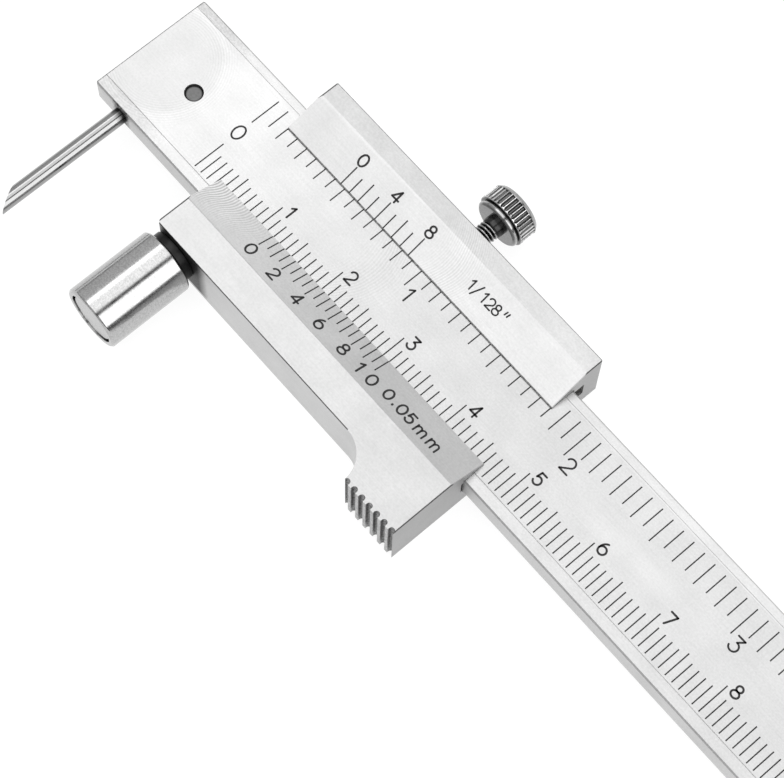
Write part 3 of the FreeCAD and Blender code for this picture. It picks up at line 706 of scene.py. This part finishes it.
def threaded(radius, y, angle):
    """Radius of a right-hand thread, which fades in from its start."""
    if radius != STUD_RADIUS or y > thread_end + 0.02:
        return radius
    phase = ((y - thread_start) / THREAD_PITCH - angle / math.tau) % 1
    height = min(1, max(0, (0.5 - abs(phase - 0.5)) * THREAD_FLANK - THREAD_ROOT))
    fade = min(1, max(0, (y - thread_start) / THREAD_FADE))
    return STUD_RADIUS - THREAD_DEPTH * (1 - height * fade)


stud_profile = [(0, stud_low.y), (TIP_RADIUS - 0.1, stud_low.y), (TIP_RADIUS, stud_low.y + 0.1),
                (TIP_RADIUS, thread_start - 0.01)]
rows = ROWS_PER_PITCH * round((thread_end - thread_start) / THREAD_PITCH)
for row in range(rows + 1):
    stud_profile.append((STUD_RADIUS, thread_start + (thread_end - thread_start) * row / rows))
# The shank in the knob's socket is a hair thinner than the thread, so threaded() leaves it round
SHANK_RADIUS = STUD_RADIUS - 0.001
stud_profile += [(NECK_RADIUS - 0.1, thread_end + 0.06), (NECK_RADIUS, thread_end + 0.2),
                 (NECK_RADIUS, under_y), (SHANK_RADIUS, under_y + 0.01),
                 (SHANK_RADIUS, stud_high.y), (0, stud_high.y)]
# Cut thread: crests painted bright as a highlight, roots nearly black and the neck dark as painted shade
screw_steel = zoned_steel(
    "screw_steel_painted_light", knob_axis, (1, 0, 1), "#1d1d1d",
    [
        ("radius", STUD_RADIUS - 0.14, STUD_RADIUS - 0.02, "#c4c4c4"),
        ("along", thread_end, thread_end + 0.06, "#3c3c3c"),
    ], 0.25)
vertices, faces = turned(list(reversed(stud_profile)), knob_axis.x, knob_axis.z,
                         SMALL_SEGMENTS, threaded)
stud = piece("lock_screw_thread", vertices, faces, screw_steel, "lock_screw", 50)
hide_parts("lock_stud")


# ---------------------------------------------------------------- graduations

TICK_WIDTH = 0.15
MARK_TOP = 0.008
MARK_SINK = 0.03
CHARACTER_STEP = 0.95
# Points of a pen stroke's round end
CAP_STEPS = 5


def arc(cx, cy, rx, ry, start, end, steps):
    """Points of part of an ellipse, from start to end degrees, anticlockwise if end is larger."""
    angles = [math.radians(start + (end - start) * i / steps) for i in range(steps + 1)]
    return [(cx + rx * math.cos(a), cy + ry * math.sin(a)) for a in angles]


# Pen strokes of each character, one unit tall, on a baseline at v = 0. (points, is it a loop)
GLYPHS = {
    "0": [(arc(0.35, 0.5, 0.35, 0.5, 0, 348, 29), True)],
    "1": [([(0.36, 0), (0.36, 1)], False), ([(0.36, 1), (0.1, 0.76)], False)],
    "2": [(arc(0.33, 0.69, 0.31, 0.31, 165, -38, 16) + [(0.02, 0.02)], False),
          ([(0.02, 0), (0.68, 0)], False)],
    "3": [([(0.06, 1), (0.62, 1)], False), ([(0.62, 1), (0.3, 0.63)], False),
          (arc(0.32, 0.31, 0.32, 0.31, 95, -160, 18), False)],
    "4": [([(0.5, 0), (0.5, 1)], False), ([(0.5, 1), (0, 0.27)], False),
          ([(0, 0.27), (0.7, 0.27)], False)],
    "5": [([(0.6, 1), (0.14, 1)], False), ([(0.14, 1), (0.07, 0.53)], False),
          (arc(0.31, 0.33, 0.32, 0.33, 140, -155, 20), False)],
    "6": [(arc(0.33, 0.32, 0.33, 0.32, 0, 348, 29), True),
          (arc(0.52, 0.34, 0.52, 0.66, 178, 108, 8), False)],
    "7": [([(0, 1), (0.64, 1)], False), ([(0.64, 1), (0.22, 0)], False)],
    "8": [(arc(0.34, 0.76, 0.25, 0.24, 0, 346, 25), True),
          (arc(0.34, 0.27, 0.33, 0.27, 0, 348, 29), True)],
    "9": [(arc(0.34, 0.68, 0.33, 0.32, 0, 348, 29), True),
          (arc(0.15, 0.66, 0.52, 0.66, -2, -85, 10), False)],
    "m": [([(0, 0), (0, 0.68)], False),
          ([(0, 0.42)] + arc(0.24, 0.44, 0.2, 0.24, 150, 0, 8) + [(0.44, 0)], False),
          ([(0.44, 0.42)] + arc(0.68, 0.44, 0.2, 0.24, 150, 0, 8) + [(0.88, 0)], False)],
    ".": [([(0.0, 0.02), (0.0, 0.1)], False)],
    "/": [([(0.0, -0.22), (0.6, 1.1)], False)],
    '"': [([(0.0, 0.72), (0.08, 1.08)], False), ([(0.3, 0.72), (0.38, 1.08)], False)],
}


class Marks:
    """Flat marks on one plane of a piece: closed slabs that stand a hair above the metal.

    along is the reading direction and up the direction of the characters' tops, both in the plane.
    """

    def __init__(self, origin, along, up):
        self.origin, self.along, self.up = Vector(origin), Vector(along), Vector(up).normalized()
        self.normal = self.along.cross(self.up)
        self.vertices, self.faces = [], []

    def slab(self, points, tops, loops):
        """Adds a slab: its plan points, the polygons of its top, and its boundary loops."""
        first, count = len(self.vertices), len(points)
        for lift in (MARK_TOP, -MARK_SINK):
            for u, v in points:
                self.vertices.append(self.origin + self.along * u + self.up * v + self.normal * lift)
        for top in tops:
            self.faces.append([first + i for i in top])
            self.faces.append([first + count + i for i in reversed(top)])
        for loop in loops:
            for i, j in zip(loop, loop[1:] + loop[:1]):
                self.faces.append((first + j, first + i, first + count + i, first + count + j))

    def tick(self, u, v0, v1):
        """Adds one line of a scale at u, from v0 to v1."""
        half = TICK_WIDTH / 2
        low, high = min(v0, v1), max(v0, v1)
        corners = [(u - half, low), (u + half, low), (u + half, high), (u - half, high)]
        self.slab(corners, [(0, 1, 2, 3)], [[0, 1, 2, 3]])

    def pen(self, path, is_loop, width):
        """Adds one pen stroke of constant width, with round ends."""
        count = len(path)
        half = width / 2
        left, right = [], []
        for i, (u, v) in enumerate(path):
            before = path[i - 1] if i or is_loop else path[i]
            after = path[(i + 1) % count] if i < count - 1 or is_loop else path[i]
            here = Vector((u, v))
            into = (here - Vector(before)).normalized()
            out = (Vector(after) - here).normalized()
            if into.length == 0:
                into = out
            if out.length == 0:
                out = into
            middle = (into + out).normalized()
            reach = half / max(0.5, middle.dot(into))
            side = Vector((-middle.y, middle.x)) * reach
            left.append(here + side)
            right.append(here - side)
        points = [tuple(p) for p in right + left]
        if is_loop:
            tops = [(i, (i + 1) % count, count + (i + 1) % count, count + i) for i in range(count)]
            self.slab(points, tops, [list(range(count)), list(range(2 * count - 1, count - 1, -1))])
            return
        tops = [(i, i + 1, count + i + 1, count + i) for i in range(count - 1)]
        caps = []
        for centre, start, heading in ((path[-1], right[-1], 1), (path[0], left[0], -1)):
            spoke = Vector(start) - Vector(centre)
            base = len(points)
            for step in range(1, CAP_STEPS + 1):
                turn = math.pi * step / (CAP_STEPS + 1)
                points.append((centre[0] + spoke.x * math.cos(turn) - spoke.y * math.sin(turn),
                               centre[1] + spoke.x * math.sin(turn) + spoke.y * math.cos(turn)))
            caps.append(list(range(base, base + CAP_STEPS)))
        tops.append([count - 1] + caps[0] + [2 * count - 1])
        tops.append([count] + caps[1] + [0])
        boundary = list(range(count)) + caps[0] + list(range(2 * count - 1, count - 1, -1)) + caps[1]
        self.slab(points, tops, [boundary])

    def text(self, characters, u, v, height, pen_width):
        """Draws characters side by side; u is the first one's left end, v the baseline."""
        for character in characters:
            for path, is_loop in GLYPHS[character]:
                scaled = [(u + a * height, v + b * height) for a, b in path]
                self.pen(scaled, is_loop, pen_width)
            u += height * CHARACTER_STEP

    def finish(self, name, body):
        """Makes the marks one piece in black enamel, riding on the body that carries them."""
        piece(name, self.vertices, self.faces, enamel, body, 0)


# ---------------------------------------------------------------- scales

INCH = 25.4
SCALE_END_MM = 220
SCALE_END_INCHES = 8.5
BEAM_PEN = 0.22
CENTIMETRE_PEN = 0.235
METRIC_VERNIER_PEN = 0.25
METRIC_UNIT_PEN = 0.23
INCH_VERNIER_PEN = 0.23
FRACTION_PEN = 0.18

# Lines of each scale, in y across the gauge: where they start, and where every so many end
METRIC_START = -6.03
METRIC_ENDS = ((10, -1.94), (5, -2.6), (1, -3.09))
INCH_START = 5.95
INCH_ENDS = ((16, 2.05), (8, 2.45), (2, 2.75), (1, 3.1))
METRIC_VERNIER_START = -4.99
METRIC_VERNIER_ENDS = ((2, -7.0), (1, -6.56))
INCH_VERNIER_START = 4.58
INCH_VERNIER_ENDS = ((2, 6.96), (1, 6.49))

# Verniers: both zeros stand at this x, and each division is a little short of the beam's
VERNIER_ZERO_X = 12.0
METRIC_VERNIER_STEP = 0.95
INCH_VERNIER_STEP = INCH / 16 * 0.875
DIGIT_HALF_WIDTH = 0.5


def line_end(count, ends):
    """End of a scale's line number count; ends holds (every so many, end), longest first."""
    return next(end for every, end in ends if count % every == 0)


def incline(edge, low, high):
    """Marks on a slope of the slider, and a function for how far up it from its edge a y lies.

    edge, low and high are (y, z) points of the slope; characters stand up from low to high.
    """
    slope = Vector((0, high[0] - low[0], high[1] - low[1]))
    run_per_y = slope.length / slope.y
    return Marks((0, *edge), (1, 0, 0), slope), lambda y: (y - edge[0]) * run_per_y


# Beam, metric: a line every millimetre, longer every fifth and tenth, numbered in centimetres
metric = Marks((0, 0, beam_high.z), (1, 0, 0), (0, 1, 0))
for mm in range(SCALE_END_MM + 1):
    metric.tick(mm, METRIC_START, line_end(mm, METRIC_ENDS))
metric.text("0", -0.62, -0.72, 1.8, BEAM_PEN)
for cm in range(1, SCALE_END_MM // 10):
    metric.text(str(cm), cm * 10 + 0.62, -2.4, 1.48, CENTIMETRE_PEN)
metric.finish("beam_millimetre_scale", "beam")

# Beam, inches: a line every sixteenth, whole inches longest
imperial = Marks((0, 0, beam_high.z), (1, 0, 0), (0, 1, 0))
for sixteenth in range(int(SCALE_END_INCHES * 16) + 1):
    imperial.tick(sixteenth * INCH / 16, line_end(sixteenth, INCH_ENDS), INCH_START)
for inch in range(1, int(SCALE_END_INCHES) + 1):
    imperial.text(str(inch), inch * INCH + 0.65, 0.8, 1.75, BEAM_PEN)
imperial.finish("beam_inch_scale", "beam")

# Slider, metric vernier: twenty divisions on the lower incline, and its reading
METRIC_EDGE = (-4.95, 3.67)
METRIC_CREST = (-9.55, 5.6)
METRIC_DIGIT_FOOT = -8.72
vernier, up_incline = incline(METRIC_EDGE, METRIC_CREST, METRIC_EDGE)
for division in range(21):
    vernier.tick(VERNIER_ZERO_X + METRIC_VERNIER_STEP * division,
                 up_incline(line_end(division, METRIC_VERNIER_ENDS)), up_incline(METRIC_VERNIER_START))
for number in range(0, 10, 2):
    centre = VERNIER_ZERO_X + METRIC_VERNIER_STEP * 2 * number
    vernier.text(str(number), centre - DIGIT_HALF_WIDTH, up_incline(METRIC_DIGIT_FOOT), 1.5,
                 METRIC_VERNIER_PEN)
for characters, x, foot_y, height, pen_width in (
    ("1", 29.45, METRIC_DIGIT_FOOT, 1.5, METRIC_VERNIER_PEN),
    ("0", 31.28, METRIC_DIGIT_FOOT, 1.5, METRIC_VERNIER_PEN),
    ("0", 33.65, -8.35, 1.4, METRIC_VERNIER_PEN),
    (".", 35.25, -8.3, 1.4, METRIC_VERNIER_PEN),
    ("05", 35.85, -8.4, 1.4, METRIC_VERNIER_PEN),
    ("m", 38.75, -8.45, 1.5, METRIC_UNIT_PEN),
    ("m", 40.75, -8.45, 1.5, METRIC_UNIT_PEN),
):
    vernier.text(characters, x, up_incline(foot_y), height, pen_width)
vernier.finish("slider_metric_vernier", "slider")

# Slider, inch vernier: eight divisions on the upper incline, and its reading
INCH_EDGE = (4.55, 3.67)
INCH_CREST = (9.45, 5.65)
vernier, up_incline = incline(INCH_EDGE, INCH_EDGE, INCH_CREST)
for division in range(9):
    vernier.tick(VERNIER_ZERO_X + INCH_VERNIER_STEP * division,
                 up_incline(INCH_VERNIER_START), up_incline(line_end(division, INCH_VERNIER_ENDS)))
for number in range(0, 9, 4):
    centre = VERNIER_ZERO_X + INCH_VERNIER_STEP * number
    vernier.text(str(number), centre - DIGIT_HALF_WIDTH, up_incline(7.2), 1.42, INCH_VERNIER_PEN)
for character, x in (("1", 30.1), ("/", 30.95), ("1", 32.1), ("2", 33.0), ("8", 33.95), ('"', 35.3)):
    vernier.text(character, x, up_incline(6.7), 1.2, FRACTION_PEN)
vernier.finish("slider_inch_vernier", "slider")


# ---------------------------------------------------------------- CAD pieces that stay

pin_low, pin_high = node_reach("head_pin")
pin_radius = (pin_high.x - pin_low.x) / 2
# Turned end of a steel pin, dark grey, with painted shade round its rim where it sits down in its hole
pin_steel = zoned_steel(
    "pin_steel_shaded_rim", node_centre("head_pin"), (1, 1, 0), "#5a5a5a",
    [("radius", pin_radius - 0.35, pin_radius - 0.15, "#141414")], 0.3)

for node, material in (
    ("beam", ground_beam_steel),
    ("slider_body", ground_slider_steel),
    ("head_pin", pin_steel),
    ("stop_screw", bright_steel),
    ("scriber_grub_screw", black_oxide_and_shade),
    ("gib_set_screws", black_oxide_and_shade),
    ("gib", bronze),
    ("roller_bushes", bronze),
):
    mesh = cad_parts[node].data
    mesh.materials.clear()
    mesh.materials.append(material)


# ---------------------------------------------------------------- floor, light, camera

# From here on, lengths are in metres. The gauge lies on the slider's underside
floor_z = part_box("slider_body")[0].z
FLOOR_HALF = 1.2
floor_mesh = bpy.data.meshes.new("floor")
floor_mesh.from_pydata(
    [(x * FLOOR_HALF, y * FLOOR_HALF, floor_z) for x, y in ((-1, -1), (1, -1), (1, 1), (-1, 1))],
    [], [(0, 1, 2, 3)])
floor_mesh.materials.append(opal_acrylic())
floor = bpy.data.objects.new("floor", floor_mesh)
bpy.context.scene.collection.objects.link(floor)


def soft_box(name, centre, target, width, length, radiance):
    """Rectangular soft light that faces a target; width lies across X, length along Y."""
    light = bpy.data.lights.new(name, "AREA")
    light.shape = "RECTANGLE"
    light.size, light.size_y = width, length
    light.energy = radiance * math.pi * width * length
    lamp = bpy.data.objects.new(name, light)
    away = (Vector(centre) - Vector(target)).normalized()
    side = Vector((0, 1, 0)).cross(away).normalized()
    up = away.cross(side)
    turn = Matrix((side, up, away)).transposed().to_4x4()
    lamp.matrix_world = Matrix.Translation(centre) @ turn
    bpy.context.scene.collection.objects.link(lamp)


# The overhead light is three boxes edge to edge; the one at the back, over the tail, is dimmer
soft_box("overhead_head_box", (-0.36, -0.15, 0.7), (-0.36, -0.15, 0), 0.22, 1.3, 2.1)
soft_box("overhead_back_box", (-0.02, 0.225, 0.7), (-0.02, 0.225, 0), 0.46, 0.55, 0.92)
soft_box("overhead_front_box", (-0.02, -0.425, 0.7), (-0.02, -0.425, 0), 0.46, 0.75, 1.38)
soft_box("side_box", (0.536, -0.06, 0.45), (0, -0.06, 0), 0.6, 0.82, 1.58)

HORIZON_LEVEL = 0.12


def studio_room():
    """World light: a room paler towards +Y, shaded towards -X, with a dark ring at the horizon."""
    world = bpy.data.worlds.new("studio")
    world.use_nodes = True
    world.node_tree.nodes.clear()
    sky = add(world, "ShaderNodeTexCoord")
    heading = add(world, "ShaderNodeSeparateXYZ", links={0: (sky, "Generated")})
    toward_y = add(world, "ShaderNodeMapRange",
                   {"From Min": -0.2, "From Max": 0.8, "To Min": 0.7, "To Max": 1.25},
                   {"Value": (heading, "Y")})
    from_x = add(world, "ShaderNodeMapRange", {"From Min": -1.0, "From Max": 0.0, "To Min": 0.72},
                 {"Value": (heading, "X")})
    room = add(world, "ShaderNodeMath", {"operation": "MULTIPLY"}, {0: (toward_y, 0), 1: (from_x, 0)})

    # The dark ring rises towards +X
    plus_x = add(world, "ShaderNodeMath", {"operation": "MAXIMUM", 1: 0.0}, {0: (heading, "X")})
    lifted = add(world, "ShaderNodeMath", {"operation": "MULTIPLY_ADD", 1: -0.21},
                 {0: (plus_x, 0), 2: (heading, "Z")})
    above = add(world, "ShaderNodeMapRange",
                {"From Min": 0.05, "From Max": 0.09, "To Min": HORIZON_LEVEL,
                 "interpolation_type": "SMOOTHSTEP"}, {"Value": (lifted, 0)})
    below = add(world, "ShaderNodeMapRange",
                {"From Min": -0.09, "From Max": -0.05, "To Min": 1.0, "To Max": HORIZON_LEVEL,
                 "interpolation_type": "SMOOTHSTEP"}, {"Value": (heading, "Z")})
    ring = add(world, "ShaderNodeMath", {"operation": "MAXIMUM"}, {0: (above, 0), 1: (below, 0)})
    level = add(world, "ShaderNodeMath", {"operation": "MULTIPLY"}, {0: (room, 0), 1: (ring, 0)})

    # Dark gap between the overhead boxes and the side box
    slant = add(world, "ShaderNodeMath", {"operation": "DIVIDE"},
                {0: (heading, "X"), 1: (heading, "Z")})
    from_gap = add(world, "ShaderNodeMath", {"operation": "SUBTRACT", 1: 0.4}, {0: (slant, 0)})
    spread = add(world, "ShaderNodeMath", {"operation": "ABSOLUTE"}, {0: (from_gap, 0)})
    gap = add(world, "ShaderNodeMapRange", {"From Min": 0.14, "From Max": 0.2, "To Min": 0.05},
              {"Value": (spread, 0)})
    strength = add(world, "ShaderNodeMath", {"operation": "MULTIPLY"}, {0: (level, 0), 1: (gap, 0)})
    background = add(world, "ShaderNodeBackground", {"Color": linear("#ffffff")},
                     {"Strength": (strength, 0)})
    add(world, "ShaderNodeOutputWorld", links={0: (background, 0)})
    return world


bpy.context.scene.world = studio_room()
bpy.context.scene.view_settings.view_transform = "Standard"

# The camera looks steeply down on the head end, with the beam running away to the lower right
CAMERA_PLACE = (0.105192, -0.07452, 0.26794)
CAMERA_RIGHT = (0.655727, 0.754832, 0.015813)
CAMERA_UP = (-0.711013, 0.610346, 0.349198)
CAMERA_BACK = (0.253934, -0.240222, 0.936916)
camera_data = bpy.data.cameras.new("camera")
camera_data.sensor_width = 36
camera_data.lens = 122.82
camera_data.clip_start = 0.01
camera = bpy.data.objects.new("camera", camera_data)
camera_turn = Matrix((CAMERA_RIGHT, CAMERA_UP, CAMERA_BACK)).transposed().to_4x4()
camera.matrix_world = Matrix.Translation(CAMERA_PLACE) @ camera_turn
bpy.context.scene.collection.objects.link(camera)
bpy.context.scene.camera = camera
